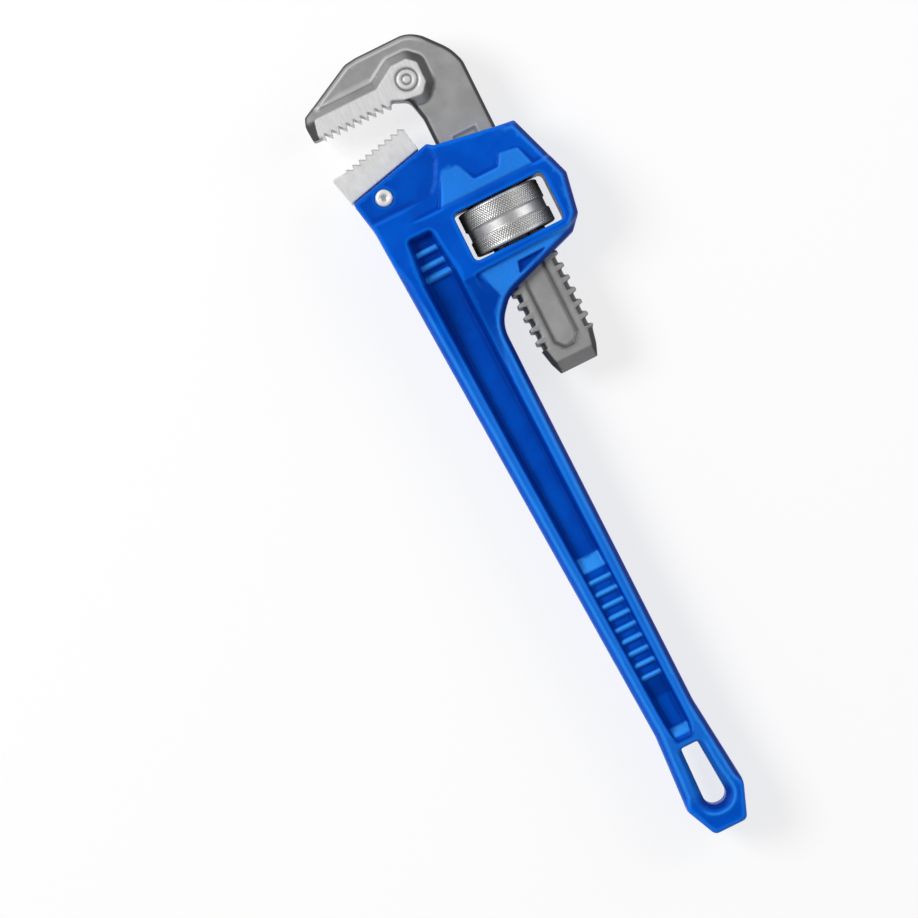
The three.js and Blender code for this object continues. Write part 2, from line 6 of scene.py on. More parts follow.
import bpy
import numpy as np
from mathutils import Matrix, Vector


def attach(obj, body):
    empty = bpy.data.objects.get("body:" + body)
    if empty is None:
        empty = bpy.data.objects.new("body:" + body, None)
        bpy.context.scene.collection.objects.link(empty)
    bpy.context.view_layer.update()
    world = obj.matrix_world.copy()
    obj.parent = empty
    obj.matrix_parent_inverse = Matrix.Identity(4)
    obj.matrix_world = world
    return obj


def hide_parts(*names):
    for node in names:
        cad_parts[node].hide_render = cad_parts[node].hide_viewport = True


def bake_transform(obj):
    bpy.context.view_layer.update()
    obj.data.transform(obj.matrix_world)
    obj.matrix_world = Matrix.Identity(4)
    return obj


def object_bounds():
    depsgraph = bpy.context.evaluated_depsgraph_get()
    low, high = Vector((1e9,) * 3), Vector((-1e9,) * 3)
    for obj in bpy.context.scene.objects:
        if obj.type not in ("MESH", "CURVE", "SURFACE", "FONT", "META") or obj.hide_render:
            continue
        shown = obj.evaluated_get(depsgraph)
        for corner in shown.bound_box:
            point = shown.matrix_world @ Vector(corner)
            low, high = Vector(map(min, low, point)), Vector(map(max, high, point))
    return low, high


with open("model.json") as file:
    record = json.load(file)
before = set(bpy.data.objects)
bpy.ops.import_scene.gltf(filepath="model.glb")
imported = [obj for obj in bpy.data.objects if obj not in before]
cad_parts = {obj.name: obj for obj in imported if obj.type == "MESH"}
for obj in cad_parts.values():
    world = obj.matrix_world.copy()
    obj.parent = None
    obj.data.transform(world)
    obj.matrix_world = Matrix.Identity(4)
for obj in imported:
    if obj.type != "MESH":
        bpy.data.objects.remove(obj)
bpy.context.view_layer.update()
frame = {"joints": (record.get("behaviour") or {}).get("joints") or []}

import openvdb
from mathutils import Matrix, Vector

NUT_CENTRE = np.array(next(j for j in frame["joints"] if j["name"] == "nut_spin")["pos_m"])
MM = 0.001
TURN = 2 * math.pi
FAR = 80
ADAPTIVITY = 0.01

# Casting: half thicknesses of its levels, and the depths and slopes between them
CHEEK = 12.5
CHEEK_SWELL = 2
BLOCK = 14.5
RIM = 9.0
WEB = 3.5
CASTING_STEP, CASTING_INSET = 0.4, 0.05
DIP_DEPTH = 0.7
DIP_LINE_Y = 21.3
BUTTRESS_FOOT = 14.8
BUTTRESS_SLOPE = 0.15
BUTTRESS_WALL = 3
PANEL_DEPTH = 0.6
POCKET_DEPTH = 1.8
LOWER_WEB_DEPTH = 0.5
EDGE_CHAMFER = 2.5
LEAST_CHAMFER = 0.8
CHAMFER_NARROWING = 1.7
END_CHAMFER_NARROWING = 1.3
CHAMFER_SLOPE = 1.25
CHANNEL_WALL, CHANNEL_WALL_SPREAD = 1.1, 0.8
SLOT_FLARE, FLARE_WIDTH, FLARE_SPREAD = 2.2, 2.4, 1.3
BRIM_HEIGHT = 0.25
PARTING_RIDGE = 0.2
CASTING_EDGE = 0.5
HOLE_EDGE = 0.3
PASSAGE_EDGE = 0.5
OPENING_EDGE = 0.8

# Ribs across the channel: nine on the grip, and three for the thumb, as (y, height, spread)
GRIP_RIBS = 9
GRIP_RIB_Y, GRIP_RIB_PITCH = -145.5, -5.4
GRIP_RIB_LEFT, GRIP_RIB_LEFT_STEP = -36.1, 0.3
GRIP_RIB_RIGHT, GRIP_RIB_RIGHT_STEP = -25.5, 0.08
GRIP_RIB_HEIGHT, GRIP_RIB_HALF_WIDTH = 7, 0.95
THUMB_RIBS = [(2.3, 9.4, 0), (-3.3, 8.2, 0.5), (-8.4, 7.2, 0.8)]
THUMB_RIB_LEFT, THUMB_RIB_RIGHT, THUMB_RIB_HALF_WIDTH = -40, -29.6, 1.25
RIB_ROUNDING, RIB_END_SLOPE = 1.5, 1.2

# Cuts through the casting: (from, to) across and along it
TONGUE_SLOT_RIGHT, TONGUE_SLOT_BOTTOM, TONGUE_SLOT_HALF = -30.7, 21.2, 5.3
PASSAGE_ABOVE, PASSAGE_BELOW, PASSAGE_FROM = (-12.7, 14.6), (-14, 13.4), 9.4
SPRING_RECESS = (10, 16.5)
RIVET_HOLE_FROM = 12
COIL_POCKET, COIL_POCKET_RADIUS = (-24.8, -10), 5
PIN_ROOM = 0.15
SPRING_ROOM = 0.3

# Shank, thread and jaws
SHANK_HALF_THICK, SHANK_ROOM = 6.2, 0.4
PANEL_INSET = 0.8
PANEL_TOP = 38.9
SHANK_CHAMFER, BAR_TOP = 2.1, 22
END_SLOPE_Y, END_SLOPE = -60.3, 0.66
THREAD_TOP, THREAD_BOTTOM = 20.0, -54.0
PITCH, ROOT_RADIUS, CREST_RADIUS = 5.4, 10.6, 13.4
RIDGE_START, THREAD_CLEARANCE = 21.0, 0.35
TIP_HALF, BASE_HALF = 0.7, 1.45
JAW_HALF = 9.0
JAW_WALL_SLOPE = 0.75
JAW_EDGE, JAW_EDGE_SLOPE = 0.5, 1.5
HOOK_CHAMFER, HOOK_CHAMFER_SLOPE = 1.6, 0.9
LIP_HEIGHT, LIP_WIDTH, LIP_INSET, PAD_LIP_OUTSET = 0.2, 0.4, 2.1, 4
RING_X, RING_Y, RING_RADII = -11.4, 67.1, (4.4, 1.9)
RING_DEPTH = 0.5
FORGING_STEP, FORGING_INSET, FORGING_EDGE = 0.3, 0.02, 0.3
SHANK_EDGE, THREAD_EDGE, FLANK_SCALE = 0.5, 0.8, 0.8
HEEL_STEP, HEEL_EDGE, TONGUE_EDGE = 0.22, 0.2, 0.4
TEETH = 9
HOOK_TIP_Y, HOOK_ROOT_Y, HOOK_PITCH, HOOK_TEETH_X = 59.9, 62.3, 3.2, -50.6
HEEL_TIP, HEEL_STRIDE, HEEL_DEPTH = (-49.2, 45.4), (3.15, 0.675), 1.7
TONGUE_HALF = 5
PIN_X, PIN_Y, PIN_RADIUS, PIN_HALF = -40.5, 28.6, 3.5, 13.1
PIN_DISH = (0.55, 0.3)

# Nut
NUT_RADIUS, NUT_BOTTOM, NUT_TOP = 17.4, -9.05, 9.45
NUT_CHAMFER, NUT_MOUTH = 1.2, 3.4
BAND_RADIUS, BAND = 16.6, (-2.6, 1.4)
KNURLS, KNURL_DEPTH, KNURL_SLANT, KNURL_SAMPLES = 96, 0.36, 0.75, 5

# Springs
COIL = dict(y=-19.0, radius=3.4, wire=0.6, start=-23.2, end=-13.2, turns=4.5)
SPRING_LINE = [
    (15.6, 12.2), (15.6, 15.6), (15.4, 19.5), (14.0, 24.0), (13.45, 27.5), (13.8, 30.5), (14.6, 32.6),
]
SPRING_THICK, SPRING_HALF_WIDTH, SPRING_CORNER = 1.2, 4.5, 0.25
SPRING_FIXED, SPRING_FREE = (15.6, 17, 0), (13.4, 27, 0)
RIVET_Y, RIVET_RADIUS, RIVET_HEAD, RIVET_IN, RIVET_OUT = 15.6, 1.5, 2.6, 14.0, 24.9

# Outlines as (x, y, corner radius)
CASTING_OUTLINE = [
    (-52.8, 32, 1), (-15.8, 40.8, 1.3), (-13.4, 39, 0), (11.4, 34.8, 2), (19.9, 33.9, 1.5), (29.5, 5.8, 2),
    (26.4, -11, 2.5), (21.3, -16.6, 2.5), (-12.6, -28.2, 15), (-20.3, -37, 15), (-20.2, -60, 20),
    (-18.8, -205, 20), (-15, -243, 8), (-20.5, -257.4, 3), (-35, -257.4, 3), (-40.9, -244.5, 5),
    (-39, -212, 30), (-50, 18, 20),
]
CHANNEL_OUTLINE = [
    (-40.2, 9.3, 2), (-29.2, 9.3, 2), (-27.2, -10, 15), (-24, -212, 3), (-25, -218, 2), (-33, -218, 2),
    (-34, -205, 8), (-39.5, -80, 60), (-42, -10, 15),
]
BLOCK_OUTLINE = [
    (-60, BUTTRESS_FOOT, 0), (40, BUTTRESS_FOOT, 0), (40, -4, 0), (20.4, -14.2, 2), (-21.4, -14.8, 1),
    (-21.2, -60, 0), (-60, -60, 0),
]
BUTTRESS_OUTLINE = [
    (-22.5, 13.5, 0), (-20.5, 17.5, 2), (-15.5, 28.3, 1), (-8.4, 27.3, 1), (-5, 19.4, 1.5), (5.6, 19.4, 1.5),
    (8.5, 24.3, 1), (16, 23, 1), (18.9, 13.5, 0),
]
CHEEK_DIP_OUTLINE = [
    (-70, DIP_LINE_Y, 0), (-23, DIP_LINE_Y, 3), (-19.5, 25, 2), (-15, 33, 2), (-15, 60, 0), (-70, 60, 0),
]
LOWER_PANEL_OUTLINE = [(-19.4, -15.2, 0.5), (24, -13.4, 0), (24, -17, 0), (-15.2, -30, 0)]
LOWER_POCKET_OUTLINE = [(-4, -17.4, 0.5), (9, -17.2, 0.3), (3.4, -20.9, 0.5), (-5.4, -22.6, 0.5)]
LOWER_WEB_OUTLINE = [(-27, -15.2, 0), (-20.6, -15.2, 0), (-15.4, -26, 0), (-21.5, -32, 0), (-27, -60, 0)]
WINDOW_OUTLINE = [(-19, -10.4, 2), (20.4, -10.4, 2), (20.4, 10.4, 2), (-19, 10.4, 2)]
SLOT_OUTLINE = [(-32, -220.4, 0.8), (-24.7, -220.4, 0.8), (-23, -246.6, 4.2), (-32.8, -246.6, 4.4)]
HOOK_OUTLINE = [
    (-12.2, 18.9, 0), (-12.2, 50, 10), (-14.2, 59.2, 4), (-20.8, 62.2, 1), (-21.7, HOOK_TIP_Y, 0.2),
    (-50.6, HOOK_TIP_Y, 0.2), (-51.5, 61.1, 0.5), (-55.6, 61.3, 1), (-56, 68, 5), (-54.6, 71.5, 1.6),
    (-31, 83.6, 6), (-26, 84.2, 4), (-3.5, 84.2, 12), (1.8, 80.6, 12), (9.8, 71, 20), (12.2, 64.5, 11),
    (12.2, 18.9, 0),
]
PAD_OUTLINE = [
    (-54.2, 58, 0), (-21.6, 58, 0), (-20.8, 62.2, 1), (-17, 60.3, 1.5), (-8.2, 59.2, 2), (-5, 63, 1.5),
    (-4.8, 71.6, 1.5), (-8, 74.6, 1), (-14.4, 74.6, 1.5), (-23.8, 68.9, 1.5), (-51.4, 68.9, 1.5),
    (-53.1, 61, 0),
]
SHANK_PANEL_OUTLINE = [
    (-5.3, PANEL_TOP, 0.5), (-5.3, -53, 1), (-2, -56.8, 1), (2, -56.8, 1), (5.3, -53, 1),
    (5.3, PANEL_TOP, 0.5),
]
SHANK_END_OUTLINE = [
    (-12.2, 50, 0), (-12.2, -53, 0), (-11.2, -54.5, 0.5), (-9.9, -60.4, 1), (-8, -65.3, 0.5), (8, -65.3, 0.5),
    (9.9, -60.4, 1), (11.2, -54.5, 0.5), (12.2, -53, 0), (12.2, 50, 0),
]
HEEL_OUTLINE = [
    (-55.9, 44.2, 0.4), (-53, 32.1, 0.4), (-19.5, 40.1, 0.4), (-20.9, 47, 1), (-21.3, 51.3, 0),
    (-23.9, 50.85, 0), (*HEEL_TIP, 0), (-50.6, 44.5, 0),
]
TONGUE_OUTLINE = [
    (-53.2, 34, 0), (-52.2, 31, 0), (-50.6, 24, 0), (-50.2, 21.5, 1), (-31, 21.5, 2), (-31, 39.5, 0),
]
# Heights of the channel's floor along the handle, as (y, height)
FLOOR_LINE = [
    (12, 8.4), (6, 7.6), (-14, 4.5), (-30, WEB), (-134.7, WEB), (-141, 5.9), (-142, 5.6), (-190, 5.4),
    (-198, WEB), (-211.5, WEB), (-215.6, 8.2), (-219, 8.7),
]


def to_frame(points):
    return np.asarray(points, float) * MM + NUT_CENTRE


# ------------------------------------------------------------------ distance fields

class Block:
    """Sample points of a box of space that is centred on z = 0; x, y and z broadcast against each other."""

    def __init__(self, low, high, half_height, step):
        self.step = step
        margin = 4
        counts = [int(math.ceil((h - l) / step)) + 2 * margin + 1 for l, h in zip(low, high)]
        layers = int(math.ceil(half_height / step)) + margin
        self.low = np.array([low[0] - margin * step, low[1] - margin * step, -layers * step])
        axes = [self.low[a] + step * np.arange(counts[a]) for a in (0, 1)]
        axes.append(step * np.arange(-layers, layers + 1))
        self.x = axes[0].astype(np.float32)[:, None, None]
        self.y = axes[1].astype(np.float32)[None, :, None]
        self.z = axes[2].astype(np.float32)[None, None, :]


def rounded(corners, steps=6):
    """The (x, y) points of an outline whose (x, y, radius) corners are rounded."""
    points = []
    for i, (x, y, radius) in enumerate(corners):
        corner = np.array((x, y), float)
        if radius == 0:
            points.append(corner)
            continue
        back = np.array(corners[i - 1][:2]) - corner
        ahead = np.array(corners[(i + 1) % len(corners)][:2]) - corner
        back, ahead = back / np.linalg.norm(back), ahead / np.linalg.norm(ahead)
        half = math.acos(float(back @ ahead)) / 2
        middle = (back + ahead) / np.linalg.norm(back + ahead)
        centre = corner + middle * radius / math.sin(half)
        first = corner + back * radius / math.tan(half) - centre
        last = corner + ahead * radius / math.tan(half) - centre
        start = math.atan2(first[1], first[0])
        sweep = (math.atan2(last[1], last[0]) - start + math.pi) % TURN - math.pi
        for k in range(steps + 1):
            angle = start + sweep * k / steps
            points.append(centre + radius * np.array((math.cos(angle), math.sin(angle))))
    return np.array(points)


def outline(block, points):
    """Distance to a closed outline in the XY plane, negative inside it."""
    x, y = block.x, block.y
    nearest = np.full((x.size, y.size, 1), 1e9, np.float32)
    inside = np.zeros(nearest.shape, bool)
    for (ax, ay), (bx, by) in zip(points, np.roll(points, -1, 0)):
        ex, ey = bx - ax, by - ay
        along = np.clip(((x - ax) * ex + (y - ay) * ey) / (ex * ex + ey * ey + 1e-12), 0, 1)
        nearest = np.minimum(nearest, (x - ax - along * ex) ** 2 + (y - ay - along * ey) ** 2)
        if ay != by:
            inside ^= ((ay > y) != (by > y)) & (x < ex * (y - ay) / ey + ax)
    return np.where(inside, -1, 1) * np.sqrt(nearest)


def shape(block, corners):
    return outline(block, rounded(corners))


def box(block, xs, ys, half_height):
    """A field that is negative inside a box, and grows away from its faces."""
    x, y, z = block.x, block.y, np.abs(block.z)
    flat = np.maximum(np.maximum(xs[0] - x, x - xs[1]), np.maximum(ys[0] - y, y - ys[1]))
    return np.maximum(flat, z - half_height)


def common(a, b, radius=0.0):
    """Where both bodies are, with the edges between them rounded."""
    if radius == 0:
        return np.maximum(a, b)
    corner = np.sqrt(np.maximum(a + radius, 0) ** 2 + np.maximum(b + radius, 0) ** 2)
    return np.minimum(np.maximum(a, b), -radius) + corner


def without(a, b, radius=0.0):
    return common(a, -b, radius)


def joined(a, b, radius=0.0):
    return -common(-a, -b, radius)


def most(fields):
    """The largest of several fields at each point."""
    return reduce(np.maximum, fields)


def ease(value, low, high):
    """0 below low and 1 above high, with a smooth rise between."""
    t = np.clip((value - low) / (high - low), 0, 1)
    return t * t * (3 - 2 * t)


def line_at(distance, width):
    """A soft line where the distance is 0, from 1 at its middle to nothing at about twice its width."""
    return np.exp(-(distance / width) ** 2)


def blur(values, samples, axes=(0, 1)):
    """Gaussian blur with a spread given in samples."""
    reach = max(1, int(2.5 * samples + 0.5))
    weights = np.exp(-0.5 * (np.arange(-reach, reach + 1) / samples) ** 2)
    weights = (weights / weights.sum()).astype(np.float32)
    for axis in axes:
        count = values.shape[axis]
        padding = [(reach, reach) if a == axis else (0, 0) for a in range(3)]
        padded = np.pad(values, padding, mode="edge")
        total = np.zeros_like(values)
        for shift, weight in enumerate(weights):
            window = [slice(None)] * 3
            window[axis] = slice(shift, shift + count)
            total += weight * padded[tuple(window)]
        values = total
    return values


def sample(values, block, places):
    """The field's value at places, between its sample points."""
    index = (places - block.low) / block.step
    limit = np.array(values.shape) - 1
    base = np.floor(index).astype(int)
    part = index - base
    total = np.zeros(len(places))
    for corner in product((0, 1), repeat=3):
        at = np.clip(base + corner, 0, limit)
        weight = np.prod(np.where(corner, part, 1 - part), axis=1)
        total += weight * values[at[:, 0], at[:, 1], at[:, 2]]
    return total


def new_object(name, points, faces):
    mesh = bpy.data.meshes.new(name)
    mesh.from_pydata(to_frame(points).tolist(), [], faces)
    mesh.validate()
    mesh.shade_smooth()
    item = bpy.data.objects.new(name, mesh)
    bpy.context.scene.collection.objects.link(item)
    return item


def add_attribute(item, name, values):
    attribute = item.data.attributes.new(name, "FLOAT", "POINT")
    attribute.data.foreach_set("value", np.asarray(values, np.float32))


def surface(name, block, field, zones):
    """The field's zero surface as an object, with normals from the field, a vertex attribute "edge" that is
    positive on raised edges and negative in hollows, and one attribute per zone."""
    band = 3 * block.step
    grid = openvdb.FloatGrid(background=band)
    grid.copyFromArray(np.ascontiguousarray(np.clip(field, -band, band), np.float32))
    points, triangles, quads = grid.convertToPolygons(isovalue=0.0, adaptivity=ADAPTIVITY)
    places = block.low + points.astype(float) * block.step
    item = new_object(name, places, triangles.tolist() + quads.tolist())

    wide = np.clip(field, -2 * band, 2 * band).astype(np.float32)
    half = 0.5 * block.step
    gradient = np.stack([
        sample(wide, block, places + half * np.eye(3)[a]) - sample(wide, block, places - half * np.eye(3)[a])
        for a in range(3)
    ], axis=1)
    normals = gradient / (np.linalg.norm(gradient, axis=1, keepdims=True) + 1e-9)
    item.data.normals_split_custom_set_from_vertices(normals.tolist())
    soft = blur(wide, 2.0, axes=(0, 1, 2))
    add_attribute(item, "edge", sample(soft, block, places) / block.step)
    for zone, values in zones.items():
        values = np.broadcast_to(values, (block.x.size, block.y.size, values.shape[2]))
        add_attribute(item, zone, sample(values, block, places))
    return item


# ------------------------------------------------------------------ handle

def rib_height(block, y_middle, left, right, top, half_width):
    """Height of a low rounded rib across the channel. Its ends slope, and beside it the height is low."""
    across = np.abs(block.y - y_middle) / half_width
    ends = np.maximum(left - block.x, block.x - right)
    crown = RIB_ROUNDING * (1 - np.sqrt(np.clip(1 - across ** 2, 0, 1)))
    return top - crown - FAR * (across > 1) - RIB_END_SLOPE * np.maximum(ends + 1, 0)


def channel_floor(block):
    """Heights of the channel's floor without its ribs and with them."""
    floor_y, floor_z = zip(*sorted(FLOOR_LINE))
    floor = np.interp(block.y, floor_y, floor_z).astype(np.float32)
    ribbed = floor + 0 * block.x
    for i in range(GRIP_RIBS):
        rib_y = GRIP_RIB_Y + GRIP_RIB_PITCH * i
        left = GRIP_RIB_LEFT + GRIP_RIB_LEFT_STEP * i
        right = GRIP_RIB_RIGHT + GRIP_RIB_RIGHT_STEP * i
        rib = rib_height(block, rib_y, left, right, GRIP_RIB_HEIGHT, GRIP_RIB_HALF_WIDTH)
        ribbed = np.maximum(ribbed, rib)
    for rib_y, top, spread in THUMB_RIBS:
        left, right = THUMB_RIB_LEFT - spread / 3, THUMB_RIB_RIGHT + spread
        ribbed = np.maximum(ribbed, rib_height(block, rib_y, left, right, top, THUMB_RIB_HALF_WIDTH))
    return floor, ribbed


def chamfer_width(x, y, at_end):
    """Width of the chamfer round the casting. It narrows beside the heel jaw and at the handle's end."""
    width = EDGE_CHAMFER - CHAMFER_NARROWING * ease(y, -8, 4) * ease(-x, 15, 30)
    width = width - CHAMFER_NARROWING * ease(y, 31, 34) * ease(-x, -17, -13) * ease(x, -60, -20)
    return np.maximum(width - END_CHAMFER_NARROWING * at_end, LEAST_CHAMFER)


def handle_relief(block):
    """Half the casting's thickness at each (x, y), and the zones of painted highlight and painted shade on
    its paint.
    Head on, slopes that face the lamps are painted lighter than the flats, and walls and chamfers are painted
    darker."""
    x, y = block.x, block.y
    edge = shape(block, CASTING_OUTLINE)
    on_block = ease(-shape(block, BLOCK_OUTLINE), -0.4, 0.4)
    cheek = CHEEK + CHEEK_SWELL * ease(-x, 25, 40) * ease(-y, -22.5, -20)
    height = cheek + (BLOCK - cheek) * on_block
    height = np.minimum(height, RIM + (BLOCK - RIM) * ease(y, -50, -6))

    dip = ease(-shape(block, CHEEK_DIP_OUTLINE), -0.8, 1.2)
    height = height - DIP_DEPTH * dip
    buttress = shape(block, BUTTRESS_OUTLINE)
    ramp = BLOCK - BUTTRESS_SLOPE * (y - BUTTRESS_FOOT) - BUTTRESS_WALL * np.maximum(buttress, 0)
    height = np.where(y > BUTTRESS_FOOT, np.maximum(height, ramp), height)

    panel = ease(-shape(block, LOWER_PANEL_OUTLINE), -0.2, 0.3)
    height = height - panel * PANEL_DEPTH
    pocket = shape(block, LOWER_POCKET_OUTLINE)
    height = height - POCKET_DEPTH * ease(-pocket, -0.1, 0.7)
    lower_web = ease(-shape(block, LOWER_WEB_OUTLINE), -0.3, 0.5) * ease(-y, 14.5, 15.5)
    height = height - LOWER_WEB_DEPTH * lower_web

    at_end = ease(-y, 238, 244)
    chamfer = chamfer_width(x, y, at_end)
    height = height - np.maximum(edge + chamfer, 0) * CHAMFER_SLOPE

    floor, ribbed = channel_floor(block)
    wall = shape(block, CHANNEL_OUTLINE)
    wall_width = CHANNEL_WALL + CHANNEL_WALL_SPREAD * ease(y, -150, -110)
    rise = (height - floor) / wall_width
    sunk = ribbed + np.maximum(wall + wall_width, 0) * np.maximum(rise, 1.5)
    height = np.where(wall < 1, np.minimum(height, sunk), height)

    slot = shape(block, SLOT_OUTLINE)
    flare = SLOT_FLARE * ease(-y, 218.5, 223)
    flare_width = FLARE_WIDTH + FLARE_SPREAD * ease(-y, 228, 248)
    height = height - flare * np.clip(1 - np.maximum(slot, 0) / flare_width, 0, 1)
    brim = line_at(slot - flare_width, 0.6) * ease(-y, 219, 224) * ease(x, -36, -33)
    height = height + BRIM_HEIGHT * brim

    on_floor = ease(-wall - wall_width, -0.3, 0.2)
    on_wall = ease(-wall, -0.1, 0.3) * (1 - on_floor)
    ribs = np.clip((ribbed - floor - 0.15) / 0.4, 0, 1) * on_floor
    upper_ramp = ease(y, -141.3, -140.6) * ease(-y, 134.4, 135.1)
    lower_ramp = ease(y, -215.6, -215) * ease(-y, 211.3, 212)
    lower_floor = ease(y, -198.5, -197.5) * ease(-y, 190, 191)
    inside_edge = ease(-edge, 2.3, 2.7)
    crease = line_at(edge + chamfer + 0.3, 0.5)
    on_handle = ease(-y, 12, 24)
    housing_right = ease(x, 3, 8) * ease(-y, -33, -31)
    right_side = np.maximum(ease(x, -30, -28) * on_handle, housing_right)
    on_chamfer = ease(edge + chamfer, 0.2, 0.8) * ease(chamfer, 1, 1.8)
    # Painted highlight: lighter blue on the buttress, lower panel, ribs, ramps, rim tops, the crease inside
    # the chamfer and the slot's brim
    painted_highlight = most([
        0.43 * ease(-buttress, -0.2, 0.3) * ease(y, 14.5, 15.1),
        0.52 * panel * ease(pocket, -0.1, 0.3) * inside_edge,
        ribs,
        0.9 * (upper_ramp + lower_ramp) * on_floor,
        0.25 * ease(-y, 30, 60) * (1 - at_end) * ease(wall, 0, 0.4) * inside_edge,
        np.maximum(0.7 * on_handle * (1 - 0.8 * at_end), 0.4 * housing_right) * crease,
        0.55 * brim,
    ])
    # Painted shade: darker blue on channel walls and floor, chamfers (more on the right side), slot flare,
    # pocket, lower web and cheek dip
    painted_shade = most([
        (0.85 - 0.3 * ease(y, -20, 0)) * on_wall,
        (0.3 + 0.7 * right_side) * on_chamfer,
        0.9 * ease(flare - slot, 0, 0.4),
        0.7 * ease(-pocket, -0.1, 0.3),
        (0.15 + 0.45 * lower_floor) * on_floor,
        0.5 * lower_web,
        0.25 * dip,
        0.5 * line_at(y - DIP_LINE_Y, 0.8) * ease(-x, 20, 26),
    ]) * (1 - ribs)
    return edge, blur(height, 0.8), painted_highlight, painted_shade


def make_handle():
    block = Block((-53.5, -258), (30, 41.5), 15, CASTING_STEP)
    x, y, z = block.x, block.y, np.abs(block.z)
    edge, height, painted_highlight, painted_shade = handle_relief(block)
    parting = PARTING_RIDGE * (1 - line_at(z, 0.7))
    window = shape(block, WINDOW_OUTLINE)
    pin_hole = np.hypot(x - PIN_X, y - PIN_Y) - PIN_RADIUS - PIN_ROOM
    rivet_hole = np.maximum(np.hypot(y - RIVET_Y, z) - RIVET_RADIUS - PIN_ROOM, RIVET_HOLE_FROM - x)
    coil_ends = np.maximum(COIL_POCKET[0] - x, x - COIL_POCKET[1])
    coil_pocket = np.maximum(np.hypot(y - COIL["y"], z) - COIL_POCKET_RADIUS, coil_ends)
    tongue_slot = box(block, (-FAR, TONGUE_SLOT_RIGHT), (TONGUE_SLOT_BOTTOM, FAR), TONGUE_SLOT_HALF)
    above, below = (PASSAGE_FROM, FAR), (-FAR, -PASSAGE_FROM)
    passage_half = SHANK_HALF_THICK + SHANK_ROOM
    field = common(edge + CASTING_INSET + parting, z - height, CASTING_EDGE)
    for cut, rounding in (
        (shape(block, SLOT_OUTLINE), OPENING_EDGE),
        (window, OPENING_EDGE),
        (tongue_slot, HOLE_EDGE),
        (pin_hole, HOLE_EDGE),
        (box(block, PASSAGE_ABOVE, above, passage_half), PASSAGE_EDGE),
        (box(block, PASSAGE_BELOW, below, passage_half), PASSAGE_EDGE),
        (box(block, SPRING_RECESS, above, SPRING_HALF_WIDTH + SPRING_ROOM), HOLE_EDGE),
        (rivet_hole, HOLE_EDGE),
        (coil_pocket, HOLE_EDGE),
    ):
        field = without(field, cut, rounding)
    # Painted highlight and painted shade are kept to the faces
    near_face = ease(z - height, -3, -1.5)
    bare = ease(-np.abs(window), -1.2, -0.9) * ease(height - z, 0.9, 1.2)
    zones = {"painted_highlight": painted_highlight * near_face, "painted_shade": painted_shade * near_face, "bare": bare}
    return surface("handle_casting", block, field, zones)


# ------------------------------------------------------------------ hook jaw and heel jaw

def thread_radius(angle, y, clearance=0.0):
    """Radius of the helical thread at an angle round the shank and a place along it."""
    turn = (y - RIDGE_START) / PITCH + (angle - math.pi / 2) / TURN
    off_ridge = np.abs(turn - np.round(turn)) * PITCH
    crest = ease(BASE_HALF + 1.2 * clearance - off_ridge, 0, BASE_HALF - TIP_HALF + 0.25)
    return ROOT_RADIUS + clearance + (CREST_RADIUS - ROOT_RADIUS) * crest


def tooth_gaps(block, corners, outward):
    """Field of what is cut away to leave teeth: the space between the tooth line and a line beyond it."""
    first, last = corners[0], corners[-1]
    beyond_first, beyond_last = (first[0], first[1] + outward), (last[0], last[1] + outward)
    return outline(block, np.array([beyond_first, *corners, beyond_last], float))


def hook_tooth_line():
    corners = []
    for i in range(TEETH):
        x = HOOK_TEETH_X + i * HOOK_PITCH
        corners += [(x + 0.1, HOOK_ROOT_Y), (x + 0.5, HOOK_ROOT_Y)]
        corners += [(x + 2.6, HOOK_TIP_Y - 0.05), (x + HOOK_PITCH - 0.25, HOOK_TIP_Y - 0.05)]
    return corners


